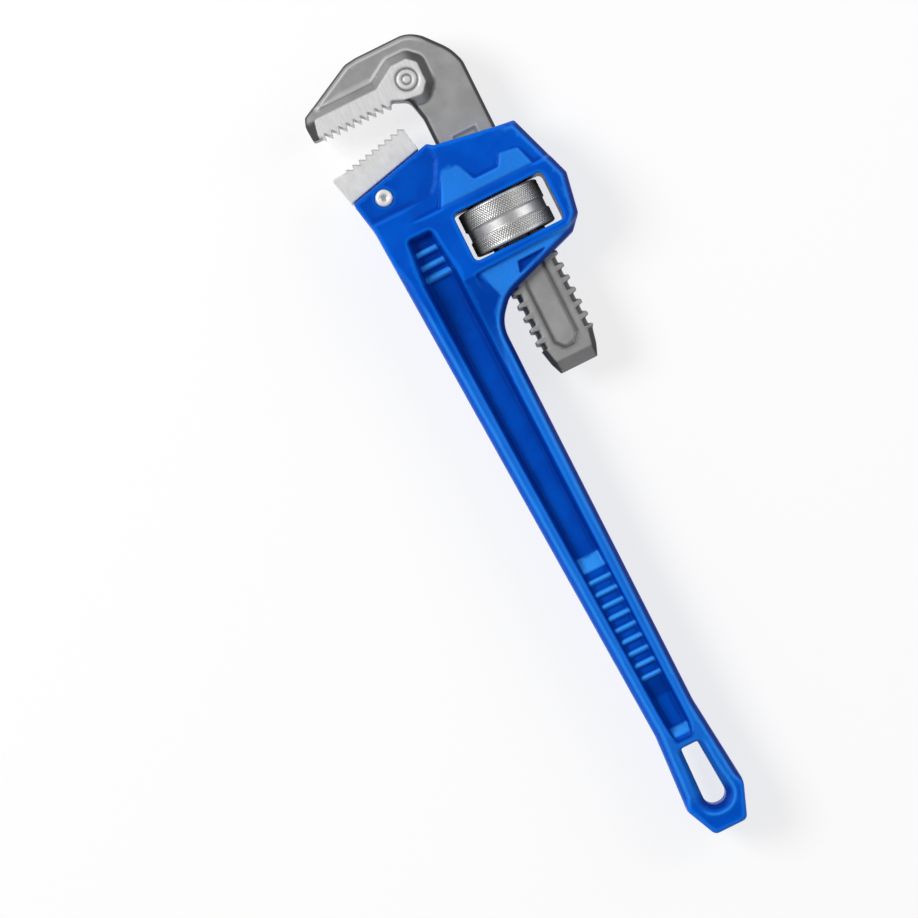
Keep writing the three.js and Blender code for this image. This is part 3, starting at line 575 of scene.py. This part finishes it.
def make_hook_jaw():
    block = Block((-57, -66.5), (13.5, 85.5), 9.3, FORGING_STEP)
    x, y, z = block.x, block.y, np.abs(block.z)
    hook = shape(block, HOOK_OUTLINE)
    pad = shape(block, PAD_OUTLINE)
    panel = shape(block, SHANK_PANEL_OUTLINE)
    upper_left = ease(-x, -4, 4) * ease(y, 62, 66)
    right_of_tip = ease(x, -50.5, -48.5)
    lip = line_at(hook + LIP_INSET, LIP_WIDTH) * upper_left * right_of_tip * ease(y, 69, 71)
    pad_lip = line_at(pad - PAD_LIP_OUTSET, LIP_WIDTH) * upper_left * right_of_tip
    height = SHANK_HALF_THICK + LIP_HEIGHT * lip - np.maximum(hook + HOOK_CHAMFER, 0) * HOOK_CHAMFER_SLOPE
    height = np.maximum(height, JAW_HALF - JAW_WALL_SLOPE * np.maximum(pad, 0)) + LIP_HEIGHT * pad_lip
    height = np.minimum(height, JAW_HALF - np.maximum(hook + JAW_EDGE, 0) * JAW_EDGE_SLOPE)
    ring = np.hypot(x - RING_X, y - RING_Y)
    groove = line_at(ring - RING_RADII[0], 0.6) + line_at(ring - RING_RADII[1], 0.45)
    height = height - RING_DEPTH * groove
    height = height - PANEL_INSET * ease(-panel, -0.1, 0.6)
    head = common(hook, z - blur(height, 0.7), FORGING_EDGE)
    head = without(head, tooth_gaps(block, hook_tooth_line(), outward=-4))

    end = shape(block, SHANK_END_OUTLINE)
    at_end = ease(-y, 53, 54.5)
    bar_height = SHANK_HALF_THICK - PANEL_INSET * ease(-panel, -0.1, 0.6)
    end_chamfer = np.maximum(end + SHANK_CHAMFER, 0) * at_end
    bar_height = np.minimum(bar_height, SHANK_HALF_THICK - end_chamfer)
    bar_height = np.minimum(bar_height, SHANK_HALF_THICK - END_SLOPE * np.maximum(END_SLOPE_Y - y, 0))
    bar = common(end, z - blur(bar_height, 0.6), SHANK_EDGE)
    reach = np.hypot(x, block.z)
    threaded = (y < THREAD_TOP) & (y > THREAD_BOTTOM)
    thread = thread_radius(np.arctan2(block.z, block.x), y)
    # On the thread's sloping flanks the true distance is shorter than the radial one
    rod = np.where(threaded, (reach - thread) * FLANK_SCALE, -FAR)
    bar = common(common(bar, rod, THREAD_EDGE), y - BAR_TOP)
    field = joined(head, bar, FORGING_EDGE) + FORGING_INSET

    ground = ease(-pad, -0.1, 0.25) * ease(z, JAW_HALF - 1.2, JAW_HALF - 0.7) * (1 - np.minimum(groove, 1))
    teeth = ease(-np.abs(y - 61), -2.2, -1.4) * ease(-x, 20, 21.5) * ease(x, -52.5, -51)
    tip_bevel = ease(-x, 49, 50.5) * ease(pad, 0, 0.4) * ease(-y, -69.5, -68)
    bevel = np.maximum(ease(hook + 1.7 - 0.7 * upper_left, 0, 0.5), tip_bevel)
    bevel = bevel * ease(y, 30, 32) * ease(z, 3.2, 4.6)
    end_bevel = at_end * ease(np.abs(x) - 7, 0, 1) * ease(end, -2.3, -1.9)
    pad_wall = ease(pad, -0.1, 0.3) * ease(-pad, -3.7, -3.3) * ease(y, 50, 52)
    panel_border = line_at(panel, 0.7) * ease(-y, -32, -26)
    near_face = ease(-z, -SHANK_HALF_THICK, 0.5 - SHANK_HALF_THICK)
    beside = threaded * near_face * ease(np.abs(x), 7.5, 8.2)
    thread_valley = beside * ease(-reach, -11.8, -11) * ease(z, 1, 3)
    thread_tip = threaded * ease(np.abs(x), 11.5, 12) * ease(z, 2, 4)
    # Painted shade on the hook jaw: darker grey on bevels, the shank's end, the pad's wall, the panel border,
    # the ring grooves, and the thread's valleys and tips
    painted_shade = most([
        bevel,
        end_bevel,
        (0.15 + 0.7 * ease(x, -10, -5)) * pad_wall,
        0.8 * panel_border,
        0.35 * ease(-y, 60, 60.6),
        thread_valley,
        0.8 * thread_tip,
        0.6 * groove * ease(-ring, -6, -5.5),
    ]) * (1 - teeth)
    panel_end = line_at(y - PANEL_TOP, 0.45) * ease(-np.abs(x), -6.5, -5)
    # Painted highlight: a lighter line along the lips on the upper left and at the panel's top end
    line = most([pad_lip, lip, panel_end])
    zones = {"ground": np.maximum(ground, teeth), "painted_shade": painted_shade, "line": line}
    return surface("hook_jaw_forging", block, field, zones)


def heel_tooth_line():
    corners = [(HEEL_TIP[0] - 1.2, HEEL_TIP[1] - 0.9), (HEEL_TIP[0] - 0.1, HEEL_TIP[1] - 0.9)]
    for i in range(TEETH):
        x, y = HEEL_TIP[0] + i * HEEL_STRIDE[0], HEEL_TIP[1] + i * HEEL_STRIDE[1]
        root_y = y + HEEL_STRIDE[1] - HEEL_DEPTH
        corners += [(x, y), (x + 0.5, y + 0.05)]
        corners += [(x + HEEL_STRIDE[0] - 0.5, root_y), (x + HEEL_STRIDE[0] - 0.15, root_y)]
    return corners


def make_heel_jaw():
    block = Block((-56.5, 21), (-19, 51.5), 9.2, HEEL_STEP)
    x, y, z = block.x, block.y, np.abs(block.z)
    body = shape(block, HEEL_OUTLINE)
    height = JAW_HALF - np.maximum(body + JAW_EDGE, 0) * ease(-y, -46, -40)
    gaps = tooth_gaps(block, heel_tooth_line(), outward=6)
    head = without(common(body, z - height, HEEL_EDGE), gaps)
    tongue = common(shape(block, TONGUE_OUTLINE), z - TONGUE_HALF, TONGUE_EDGE)
    field = joined(head, tongue, HEEL_EDGE)
    field = without(field, np.hypot(x - PIN_X, y - PIN_Y) - PIN_RADIUS - PIN_ROOM, HEEL_EDGE)
    # Painted shade along the teeth's profile near the faces
    tooth = line_at(gaps, 0.35) * ease(z, 7, 8.5)
    return surface("heel_jaw_block", block, field, {"tooth": tooth})


# ------------------------------------------------------------------ turned and swept pieces

def ring_faces(rows, columns, close_rows=False):
    """Quads of a grid of points that is closed round its columns."""
    faces = []
    for r in range(rows if close_rows else rows - 1):
        below, above = r * columns, ((r + 1) % rows) * columns
        for c in range(columns):
            right = (c + 1) % columns
            faces.append((below + c, below + right, above + right, above + c))
    return faces


def turned(name, profile, steps, place):
    """A body turned from (radius, height) points that start and end on the axis.
    place(radius, height, angle) gives its points."""
    inner = profile[1:-1]
    angles = np.linspace(0, TURN, steps, endpoint=False)
    points = [place(r, h, a) for r, h in inner for a in angles]
    faces = ring_faces(len(inner), steps)
    bottom, top = len(points), len(points) + 1
    points += [place(*profile[0], 0), place(*profile[-1], 0)]
    last = (len(inner) - 1) * steps
    for c in range(steps):
        right = (c + 1) % steps
        faces += [(bottom, right, c), (top, last + c, last + right)]
    return new_object(name, points, faces)


def pin_profile(radius, low, high):
    """A pin whose ends are upset into a rounded ring with a shallow dish in the middle. Its end is given as
    (share of the radius, depth below the end)."""
    end = [
        (0, 0.55), (0.25, 0.53), (0.42, 0.35), (0.52, 0.1), (0.62, 0), (0.74, 0.06), (0.86, 0.3),
        (0.95, 0.75), (1, 1.4), (1, 2),
    ]
    lower = [(radius * r, low + depth) for r, depth in end]
    upper = [(radius * r, high - depth) for r, depth in reversed(end)]
    return lower + upper


def make_pin():
    """The heel jaw's pin, with a zone for painted shade in the dishes of its ends."""
    pin = turned("heel_jaw_pin_steel", pin_profile(PIN_RADIUS, -PIN_HALF, PIN_HALF), 64, lambda r, h, a: (
        PIN_X + r * math.cos(a), PIN_Y + r * math.sin(a), h))
    points = np.array([v.co for v in pin.data.vertices]) - to_frame((PIN_X, PIN_Y, 0))
    share = np.hypot(points[:, 0], points[:, 1]) / (PIN_RADIUS * MM)
    add_attribute(pin, "dish", ease(-share, -PIN_DISH[0], -PIN_DISH[1]))
    return pin


def make_rivet():
    head = RIVET_IN + 0.7
    profile = [
        (0, RIVET_IN), (1.6, RIVET_IN + 0.08), (2.3, RIVET_IN + 0.3), (RIVET_HEAD, RIVET_IN + 0.6),
        (RIVET_HEAD, head), (RIVET_RADIUS, head + 0.05), (RIVET_RADIUS, RIVET_OUT - 0.4),
        (RIVET_RADIUS - 0.3, RIVET_OUT - 0.05), (0, RIVET_OUT),
    ]
    return turned("spring_rivet_steel", profile, 32, lambda r, h, a: (
        h, RIVET_Y + r * math.cos(a), r * math.sin(a)))


def knurl(angle, y):
    """Depth below the knurl's crests, from two crossing sets of grooves."""
    across = KNURLS * angle / TURN
    along = y * KNURLS / (TURN * NUT_RADIUS) * KNURL_SLANT
    first = 1 - np.abs(2 * ((across + along) % 1) - 1)
    second = 1 - np.abs(2 * ((across - along) % 1) - 1)
    return KNURL_DEPTH * (1 - np.minimum(first, second))


def make_nut():
    """The nut as rows of points round its axis: its knurled outside, an end, the threaded bore, and the other
    end. A vertex attribute "groove" says how deep in the knurl each point is."""
    columns = KNURLS * KNURL_SAMPLES
    angle = np.linspace(0, TURN, columns, endpoint=False)[None, :]
    row = TURN * NUT_RADIUS / KNURLS / KNURL_SLANT / KNURL_SAMPLES
    outer_y = np.arange(NUT_BOTTOM + 0.2, NUT_TOP - 0.2, row)[:, None]
    on_band = ease(outer_y, BAND[0] - 0.35, BAND[0] + 0.05) * ease(-outer_y, -BAND[1] - 0.35, -BAND[1] + 0.05)
    near_end = np.minimum(outer_y - NUT_BOTTOM, NUT_TOP - outer_y)
    corner = np.maximum(NUT_CHAMFER - near_end, 0)
    rounding = NUT_CHAMFER - np.sqrt(np.maximum(NUT_CHAMFER ** 2 - corner ** 2, 0))
    crest = NUT_RADIUS - (NUT_RADIUS - BAND_RADIUS) * on_band - rounding
    grooves = (1 - on_band) * ease(near_end, 0.5, 1.4) * knurl(angle, outer_y)
    outer = crest - grooves
    inner_y = np.linspace(NUT_TOP, NUT_BOTTOM, 44)[:, None]
    mouth = np.maximum(0, NUT_MOUTH - np.minimum(NUT_TOP - inner_y, inner_y - NUT_BOTTOM))
    bore = ROOT_RADIUS + THREAD_CLEARANCE
    inner = np.maximum(thread_radius(angle, inner_y, THREAD_CLEARANCE), bore + mouth)
    face_outer = NUT_RADIUS - NUT_CHAMFER
    face_inner = bore + NUT_MOUTH + 0.2
    face = [face_outer + (face_inner - face_outer) * share for share in np.linspace(0, 1, 5)]
    rows = [(outer[i], outer_y[i, 0]) for i in range(len(outer_y))]
    rows += [(np.full(columns, radius), NUT_TOP) for radius in face]
    rows += [(inner[i], inner_y[i, 0]) for i in range(len(inner_y))]
    rows += [(np.full(columns, radius), NUT_BOTTOM) for radius in reversed(face)]
    radius = np.array([np.broadcast_to(r, (columns,)) for r, _ in rows])
    height = np.array([y for _, y in rows])[:, None] + 0 * angle
    points = np.stack([radius * np.cos(angle), height, radius * np.sin(angle)], axis=-1).reshape(-1, 3)
    nut = new_object("adjusting_nut_knurled", points, ring_faces(len(rows), columns, close_rows=True))
    depth = np.zeros(radius.shape)
    depth[:len(outer_y)] = grooves / KNURL_DEPTH
    add_attribute(nut, "groove", depth.ravel())
    return nut


def swept(name, line, section, normals=None):
    """A tube through the line's points with the section's (across, z) points, closed at both ends."""
    line = np.array(line, float)
    tangent = np.gradient(line, axis=0)
    tangent /= np.linalg.norm(tangent, axis=1, keepdims=True)
    side = np.cross(tangent, normals if normals is not None else np.tile((0.0, 0.0, 1.0), (len(line), 1)))
    side /= np.linalg.norm(side, axis=1, keepdims=True)
    up = np.cross(side, tangent)
    points = [p + s * a + u * b for p, s, u in zip(line, side, up) for a, b in section]
    count = len(section)
    faces = [f[::-1] for f in ring_faces(len(line), count)]
    faces += [tuple(range(count)), tuple(range(len(points) - 1, len(points) - 1 - count, -1))]
    return new_object(name, points, faces)


def smooth_line(points, steps):
    """A Catmull-Rom curve through (x, y) points, on z = 0."""
    p = np.array([points[0], *points, points[-1]], float)
    line = []
    for i in range(1, len(p) - 2):
        for t in np.linspace(0, 1, steps, endpoint=False):
            a, b, c, d = p[i - 1:i + 3]
            line.append(0.5 * (2 * b + (c - a) * t + (2 * a - 5 * b + 4 * c - d) * t * t
                               + (3 * b - a - 3 * c + d) * t ** 3))
    line.append(p[-1])
    return [(x, y, 0.0) for x, y in line]


def make_flat_spring():
    half, thick, corner = SPRING_HALF_WIDTH, SPRING_THICK / 2, SPRING_CORNER
    section = []
    for sx, sz in ((1, 1), (-1, 1), (-1, -1), (1, -1)):
        start = math.atan2(sz, sx) - math.pi / 4
        for k in range(4):
            angle = start + math.pi / 2 * k / 3
            section.append((sx * (thick - corner) + corner * math.cos(angle),
                            sz * (half - corner) + corner * math.sin(angle)))
    return swept("flat_spring_leaf", smooth_line(SPRING_LINE, 8), section)


def make_coil_spring():
    steps = int(COIL["turns"] * 32)
    share = np.linspace(0, 1, steps + 1)
    angle = share * COIL["turns"] * TURN
    line = np.stack([
        COIL["start"] + (COIL["end"] - COIL["start"]) * share,
        COIL["y"] + COIL["radius"] * np.cos(angle),
        COIL["radius"] * np.sin(angle),
    ], axis=1)
    outward = np.stack([0 * angle, np.cos(angle), np.sin(angle)], axis=1)
    round_wire = np.linspace(0, TURN, 12, endpoint=False)
    section = [(COIL["wire"] * math.cos(t), COIL["wire"] * math.sin(t)) for t in round_wire]
    return swept("coil_spring_wire", line, section, outward)


# ------------------------------------------------------------------ materials

class Shader:
    """A node material. Its coordinates are the frame's metres."""

    def __init__(self, name, **inputs):
        self.material = bpy.data.materials.new(name)
        self.material.use_nodes = True
        self.nodes = self.material.node_tree.nodes
        self.links = self.material.node_tree.links
        self.principled = self.nodes["Principled BSDF"]
        for socket, value in inputs.items():
            self.principled.inputs[socket.replace("_", " ")].default_value = value
        self.place = self.nodes.new("ShaderNodeTexCoord").outputs["Object"]

    def make(self, kind, inputs=None, **settings):
        node = self.nodes.new("ShaderNode" + kind)
        for key, value in settings.items():
            setattr(node, key, value)
        for key, value in (inputs or {}).items():
            self.feed(node.inputs[key], value)
        return node

    def feed(self, socket, value):
        if isinstance(value, bpy.types.NodeSocket):
            self.links.new(value, socket)
        else:
            socket.default_value = value

    def noise(self, size_mm, detail=3.0, roughness=0.55, stretch=(1, 1, 1)):
        """Noise from 0 to 1 with features of about the given size, drawn out where stretch is small."""
        scaled = self.make("Mapping", {"Vector": self.place, "Scale": stretch})
        return self.make("TexNoise", {
            "Vector": scaled.outputs[0], "Scale": 1 / (size_mm * MM),
            "Detail": detail, "Roughness": roughness,
        }).outputs["Fac"]

    def attribute(self, name):
        return self.make("Attribute", attribute_name=name).outputs["Fac"]

    def between(self, value, low, high, to_low=0.0, to_high=1.0):
        """value from low..high mapped to to_low..to_high, with its ends held."""
        return self.make("MapRange", {
            "Value": value, "From Min": low, "From Max": high, "To Min": to_low, "To Max": to_high,
        }, interpolation_type="SMOOTHSTEP").outputs["Result"]

    def product(self, a, b):
        return self.make("Math", {0: a, 1: b}, operation="MULTIPLY").outputs[0]

    def mix(self, share, a, b):
        node = self.make("Mix", {"Factor": share}, data_type="RGBA")
        colours = [s for s in node.inputs if s.type == "RGBA"]
        self.feed(colours[0], a)
        self.feed(colours[1], b)
        return next(s for s in node.outputs if s.type == "RGBA")

    def bump(self, height, distance_mm, strength=1.0, below=None):
        node = self.make("Bump", {"Height": height, "Distance": distance_mm * MM, "Strength": strength})
        if below is not None:
            self.links.new(below, node.inputs["Normal"])
        return node.outputs["Normal"]

    def finish(self, colour=None, roughness=None, normal=None):
        for socket, value in (("Base Color", colour), ("Roughness", roughness), ("Normal", normal)):
            if value is not None:
                self.feed(self.principled.inputs[socket], value)
        return self.material


def srgb(red, green, blue):
    """An 8-bit screen colour as the linear colour that the renderer uses."""
    def linear(v):
        v = v / 255
        return v / 12.92 if v <= 0.04045 else ((v + 0.055) / 1.055) ** 2.4
    return (linear(red), linear(green), linear(blue), 1.0)


def grey(value):
    return srgb(value, value, value)


# The blue of painted shade in hollows and on the casting's shade zone
DEEP_BLUE = srgb(0, 44, 140)


def blue_paint():
    s = Shader("blue_enamel", Specular_IOR_Level=0.2, Specular_Tint=(0.2, 0.5, 1, 1))
    cloud = s.noise(14, 4)
    grain = s.noise(0.7, 2)
    pits = s.noise(2.2, 3)
    colour = s.mix(s.between(cloud, 0.35, 0.68), srgb(0, 76, 192), srgb(0, 88, 208))
    edge = s.attribute("edge")
    # Painted highlight on raised edges
    colour = s.mix(s.between(edge, 0.10, 0.45, 0.0, 0.6), colour, srgb(10, 112, 232))
    # Painted shade in hollows
    colour = s.mix(s.between(edge, -0.08, -0.5, 0.0, 0.5), colour, DEEP_BLUE)
    # Painted shade from the casting's zone
    colour = s.mix(s.attribute("painted_shade"), colour, DEEP_BLUE)
    # Painted highlight from the casting's zone, speckled by the grain
    speckled = s.product(s.attribute("painted_highlight"), s.between(grain, 0.3, 0.6, 0.82, 1.0))
    colour = s.mix(speckled, colour, srgb(56, 160, 255))
    colour = s.mix(s.attribute("bare"), colour, srgb(84, 84, 88))
    roughness = s.between(s.noise(5, 3), 0.3, 0.7, 0.36, 0.5)
    normal = s.bump(pits, 0.10, 0.7)
    normal = s.bump(grain, 0.05, 0.6, normal)
    return s.finish(colour, roughness, normal)


def steel(name, dull, bright, roughness, metallic, marks=(1, 1, 1), mark_contrast=0.12):
    """The start of a bare steel: cloudy colour with fine marks that are drawn out along an axis.
    Returns the shader, the colour and the marks."""
    s = Shader(name, Metallic=metallic, Specular_IOR_Level=0.5)
    fine = s.noise(0.4, 3, 0.6, marks)
    colour = s.mix(s.between(s.noise(9, 4), 0.3, 0.7), dull, bright)
    colour = s.mix(s.between(fine, 0.25, 0.75, 0.0, mark_contrast), colour, grey(255))
    s.feed(s.principled.inputs["Roughness"], s.between(fine, 0.3, 0.7, roughness - 0.06, roughness + 0.08))
    return s, colour, fine


def hook_steel():
    s, colour, fine = steel("forged_steel", grey(146), grey(160), 0.5, 0.3, mark_contrast=0.06)
    # Painted shade in hollows
    colour = s.mix(s.between(s.attribute("edge"), -0.06, -0.4, 0, 0.5), colour, srgb(60, 60, 62))
    # Painted shade from the forging's zone
    colour = s.mix(s.attribute("painted_shade"), colour, srgb(60, 60, 61))
    # Painted highlight along the lips
    colour = s.mix(s.attribute("line"), colour, grey(205))
    ground = s.mix(s.between(s.noise(0.5, 3, 0.6, (1, 0.1, 1)), 0.3, 0.7), grey(212), grey(228))
    colour = s.mix(s.attribute("ground"), colour, ground)
    return s.finish(colour, None, s.bump(fine, 0.03, 0.5))


def heel_steel():
    s, colour, fine = steel("ground_steel", grey(220), grey(234), 0.4, 0.3, (1, 0.06, 1), 0.25)
    # Painted shade on raised edges
    colour = s.mix(s.between(s.attribute("edge"), 0.15, 0.6, 0, 0.1), colour, grey(120))
    # Painted shade along the tooth profile
    colour = s.mix(s.between(s.attribute("tooth"), 0.0, 1.0, 0, 0.6), colour, grey(90))
    return s.finish(colour, None, s.bump(fine, 0.012, 0.4))


def nut_steel():
    s, colour, fine = steel("nut_steel", grey(196), grey(214), 0.38, 0.7)
    # Painted shade in the knurl's grooves
    colour = s.mix(s.between(s.attribute("groove"), 0.25, 1.0, 0, 0.6), colour, srgb(96, 92, 88))
    return s.finish(colour, None, s.bump(fine, 0.02, 0.4))


def spring_steel():
    s, colour, fine = steel("spring_steel", srgb(70, 72, 78), srgb(96, 98, 104), 0.35, 0.9)
    return s.finish(colour, None, s.bump(fine, 0.02, 0.4))


def pin_steel():
    s, colour, fine = steel("pin_steel", grey(236), grey(246), 0.34, 0.3)
    # Painted shade in the dishes of the pin's ends
    colour = s.mix(s.attribute("dish"), colour, srgb(168, 166, 168))
    return s.finish(colour, None, s.bump(fine, 0.01, 0.4))


# ------------------------------------------------------------------ assembly

# (maker, material, body that it rides on, material slot, CAD node that it replaces)
PIECES = [
    (make_handle, blue_paint, "handle", "blue_paint", "handle"),
    (make_hook_jaw, hook_steel, "hook_jaw", "forged_steel", "hook_jaw"),
    (make_heel_jaw, heel_steel, "handle", "ground_steel", "heel_jaw"),
    (make_pin, pin_steel, "handle", "ground_steel", "heel_jaw_pin"),
    (make_nut, nut_steel, "nut", "nut_steel", "adjusting_nut"),
    (make_rivet, spring_steel, "handle", "spring_steel", "spring_rivet"),
]
for make, material, body, slot, node in PIECES:
    piece = make()
    piece.data.materials.append(material())
    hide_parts(node)
    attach(piece, body)

# The springs are built in place of their CAD parts and stay where they are. A spring's fixed end is at the
# handle and its free end at the jaw.
for make, node, fixed, free in (
    (make_flat_spring, "flat_spring", SPRING_FIXED, SPRING_FREE),
    (make_coil_spring, "coil_spring", (COIL["start"], COIL["y"], 0), (COIL["end"], COIL["y"], 0)),
):
    piece = make()
    piece.data.materials.append(spring_steel())
    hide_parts(node)
    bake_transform(piece)


# ------------------------------------------------------------------ floor, light and camera

# Metres and degrees, but the view's centre is in millimetres from the middle of the nut, as the outlines are
FLOOR_HALF_WIDTH = 4.0
FLOOR_GAP = 0.0005
FLOOR_GREY = 0.28
FLOOR_GLOW = 0.72
CAMERA_ROLL = 26.4
VIEW_WIDTH = 0.3672
VIEW_CENTRE = (-59.9, -77.6, 0)
LENS, SENSOR = 200, 36
HORIZON_GLOW, OVERHEAD_GLOW = 0.5, 0.15


def make_floor():
    low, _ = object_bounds()
    size = FLOOR_HALF_WIDTH
    z = low[2] - FLOOR_GAP
    mesh = bpy.data.meshes.new("floor")
    corners = [(-size, -size, z), (size, -size, z), (size, size, z), (-size, size, z)]
    mesh.from_pydata(corners, [], [(0, 1, 2, 3)])
    floor = bpy.data.objects.new("floor", mesh)
    bpy.context.scene.collection.objects.link(floor)
    s = Shader("floor_white", Roughness=0.9, Specular_IOR_Level=0.1)
    s.principled.inputs["Base Color"].default_value = (FLOOR_GREY, FLOOR_GREY, FLOOR_GREY, 1)
    s.principled.inputs["Emission Color"].default_value = (1, 1, 1, 1)
    s.principled.inputs["Emission Strength"].default_value = FLOOR_GLOW
    mesh.materials.append(s.material)


def make_area_light(name, place, size, power):
    """A round lamp that shines at the origin."""
    data = bpy.data.lights.new(name, "AREA")
    data.shape = "DISK"
    data.size = size
    data.energy = power
    lamp = bpy.data.objects.new(name, data)
    lamp.location = place
    lamp.rotation_euler = (-Vector(place)).to_track_quat("-Z", "Y").to_euler()
    bpy.context.scene.collection.objects.link(lamp)


def make_world():
    """White surroundings that are brighter near the horizon than overhead."""
    world = bpy.data.worlds.new("studio")
    world.use_nodes = True
    nodes, links = world.node_tree.nodes, world.node_tree.links
    background = nodes["Background"]
    background.inputs["Color"].default_value = (1, 1, 1, 1)
    direction = nodes.new("ShaderNodeSeparateXYZ")
    links.new(nodes.new("ShaderNodeTexCoord").outputs["Generated"], direction.inputs[0])
    height = nodes.new("ShaderNodeMapRange")
    height.inputs["From Min"].default_value = 0.3
    height.inputs["To Min"].default_value = HORIZON_GLOW
    height.inputs["To Max"].default_value = OVERHEAD_GLOW
    links.new(direction.outputs["Z"], height.inputs["Value"])
    links.new(height.outputs["Result"], background.inputs["Strength"])
    bpy.context.scene.world = world


def make_camera():
    """Straight down on the wrench's side, turned so that the handle runs down to the right."""
    roll = math.radians(CAMERA_ROLL)
    right = Vector((math.cos(roll), -math.sin(roll), 0))
    up = Vector((math.sin(roll), math.cos(roll), 0))
    data = bpy.data.cameras.new("camera")
    data.lens, data.sensor_width = LENS, SENSOR
    data.clip_end = 20
    distance = VIEW_WIDTH * data.lens / data.sensor_width
    centre = Vector(to_frame(VIEW_CENTRE))
    camera = bpy.data.objects.new("camera", data)
    camera.matrix_world = Matrix.Translation(centre + Vector((0, 0, distance))) @ Matrix(
        (right, up, Vector((0, 0, 1)))).transposed().to_4x4()
    bpy.context.scene.collection.objects.link(camera)
    bpy.context.scene.camera = camera


make_floor()
make_world()
make_camera()
make_area_light("key", (-1.1, 0.9, 1.5), size=1.0, power=29)
make_area_light("fill", (1.4, 0.2, 1.2), size=1.3, power=8)
bpy.context.scene.view_settings.view_transform = "Standard"
